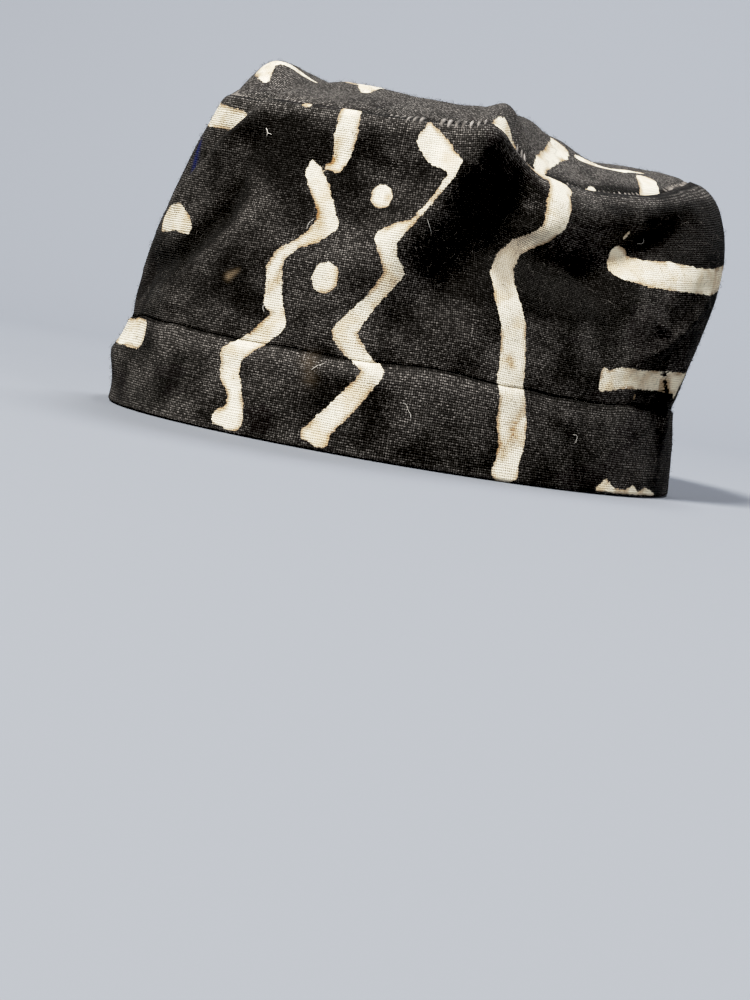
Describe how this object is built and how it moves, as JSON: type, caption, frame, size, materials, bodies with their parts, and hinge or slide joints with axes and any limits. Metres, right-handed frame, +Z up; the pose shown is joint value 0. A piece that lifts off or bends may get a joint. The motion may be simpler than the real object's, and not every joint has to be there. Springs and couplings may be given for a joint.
{
  "type": "kufi cap",
  "caption": "Soft brimless round cap with a stitched brow band, a slouched side wall with a deep dent at the front and a flat crown panel, in dark hand-painted cotton.",
  "frame": {"origin": "middle of the cap's outline seen from above, on the plane that its rim rests on", "axes": "+Z up through the crown, -Y towards the front, +X towards the wearer's left, Y along the head's length"},
  "size_m": [0.1656, 0.197, 0.1057],
  "materials": {
    "painted_cotton": "coarse hand-woven cotton dyed a warm near-black, with a cream figure left undyed"
  },
  "bodies": {
    "root": {"brow_band": "painted_cotton", "side_wall": "painted_cotton", "crown_panel": "painted_cotton"}
  },
  "joints": []
}
